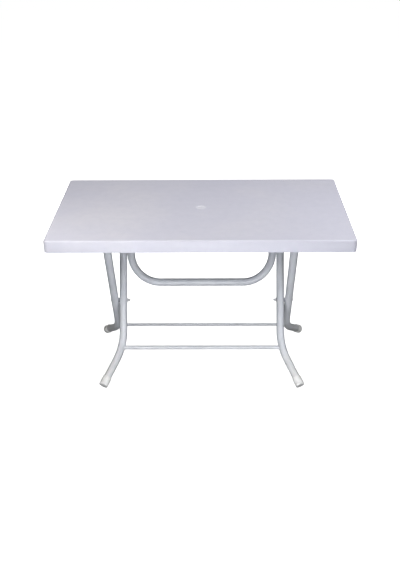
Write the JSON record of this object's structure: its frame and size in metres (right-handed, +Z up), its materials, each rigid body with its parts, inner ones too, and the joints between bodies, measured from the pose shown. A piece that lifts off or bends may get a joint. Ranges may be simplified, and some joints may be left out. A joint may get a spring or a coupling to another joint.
{
  "type": "folding table",
  "caption": "Rectangular folding garden table with a moulded plastic top on crossed, bent steel tube frames that fold up flat under it.",
  "frame": {"origin": "on the floor under the middle of the table top", "axes": "+Z up; +X along the long side of the top; the front edge, with the front feet, is at -Y"},
  "size_m": [1.2, 0.7, 0.73],
  "materials": {
    "top_plastic": "pale lavender-grey moulded polypropylene, fine satin grain",
    "tube_coat": "light silver-grey powder coat",
    "cap_plastic": "light grey moulded plastic",
    "bracket_plastic": "grey glass-filled nylon",
    "zinc": "bright zinc plate"
  },
  "bodies": {
    "table_top": {"top_panel": "top_plastic", "centre_plug": "top_plastic", "hinge_bracket_left": "bracket_plastic", "hinge_bracket_right": "bracket_plastic", "hinge_strap_left": "zinc", "hinge_strap_right": "zinc", "hinge_screws": "zinc", "rear_clip_left": "bracket_plastic", "rear_clip_right": "bracket_plastic", "clip_screws": "zinc"},
    "outer_frame": {"outer_leg_left": "tube_coat", "outer_leg_right": "tube_coat", "outer_hinge_bar": "tube_coat", "outer_stretcher": "tube_coat", "rear_foot_cap_left": "cap_plastic", "rear_foot_cap_right": "cap_plastic", "outer_bar_plugs": "cap_plastic", "pivot_bolt_left": "zinc", "pivot_bolt_right": "zinc", "pivot_spacer_left": "bracket_plastic", "pivot_spacer_right": "bracket_plastic", "pivot_washers": "zinc", "pivot_nut_left": "zinc", "pivot_nut_right": "zinc"},
    "inner_frame": {"inner_leg_left": "tube_coat", "inner_leg_right": "tube_coat", "inner_top_bar": "tube_coat", "u_brace": "tube_coat", "inner_stretcher": "tube_coat", "front_foot_cap_left": "cap_plastic", "front_foot_cap_right": "cap_plastic", "inner_bar_plugs": "cap_plastic"}
  },
  "joints": [
    {"name": "leg_fold", "type": "hinge", "parent": "table_top", "child": "outer_frame", "pos_m": [0, -0.19198, 0.665], "axis": [1, 0, 0], "range_deg": [0, 54]},
    {"name": "frame_cross", "type": "hinge", "parent": "outer_frame", "child": "inner_frame", "pos_m": [0, -0.01, 0.3], "axis": [1, 0, 0], "range_deg": [-108, 0]}
  ],
  "couplings": [
    {"joint": "frame_cross", "follows": "leg_fold", "ratio": -2}
  ]
}
